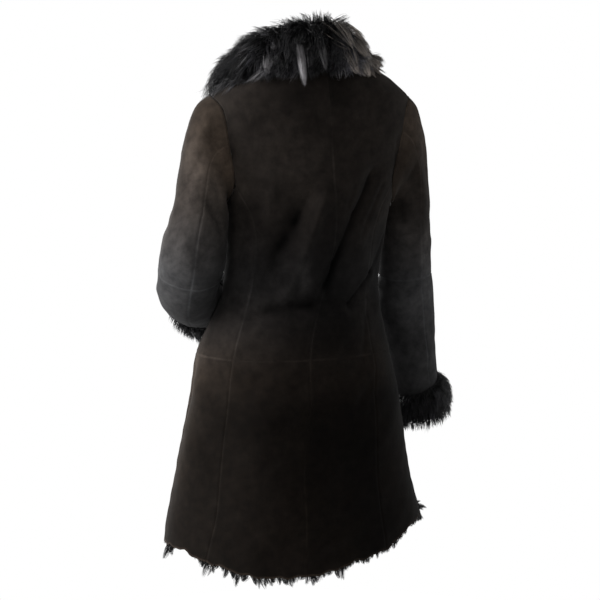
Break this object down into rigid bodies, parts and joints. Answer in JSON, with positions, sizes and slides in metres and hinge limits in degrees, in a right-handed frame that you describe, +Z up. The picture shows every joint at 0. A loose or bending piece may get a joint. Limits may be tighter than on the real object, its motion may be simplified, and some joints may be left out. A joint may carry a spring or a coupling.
{
  "type": "shearling coat",
  "caption": "Knee-length shearling coat worn open, suede outside and wool inside, with a large rolled fur collar, fur cuffs, one arm bent forward, flared skirt and raw fleecy hem",
  "frame": {"origin": "middle of the neck opening at the height of the nape, where the wearer's neck and shoulders hold the coat", "axes": "+Z up, the coat's front faces -Y, the wearer's left is +X"},
  "size_m": [0.6157, 0.4091, 1.0282],
  "materials": {
    "suede": "matt brushed suede, dark charcoal brown, with a grey nap sheen",
    "fur": "long straight lambswool pile, blue-black, softly glossy",
    "wool": "short dense wool pile, near black, matt"
  },
  "bodies": {
    "root": {"back_upper_left": "suede", "back_upper_right": "suede", "back_lower_left": "suede", "back_lower_right": "suede", "side_upper_left": "suede", "side_upper_right": "suede", "side_lower_left": "suede", "side_lower_right": "suede", "front_upper_left": "suede", "front_upper_right": "suede", "front_lower_left": "suede", "front_lower_right": "suede", "sleeve_upper_top_left": "suede", "sleeve_upper_under_left": "suede", "sleeve_lower_top_left": "suede", "sleeve_lower_under_left": "suede", "sleeve_upper_top_right": "suede", "sleeve_upper_under_right": "suede", "sleeve_lower_top_right": "suede", "sleeve_lower_under_right": "suede", "cuff_left": "fur", "cuff_right": "fur", "collar": "fur", "pile_hem": "wool"}
  },
  "joints": []
}
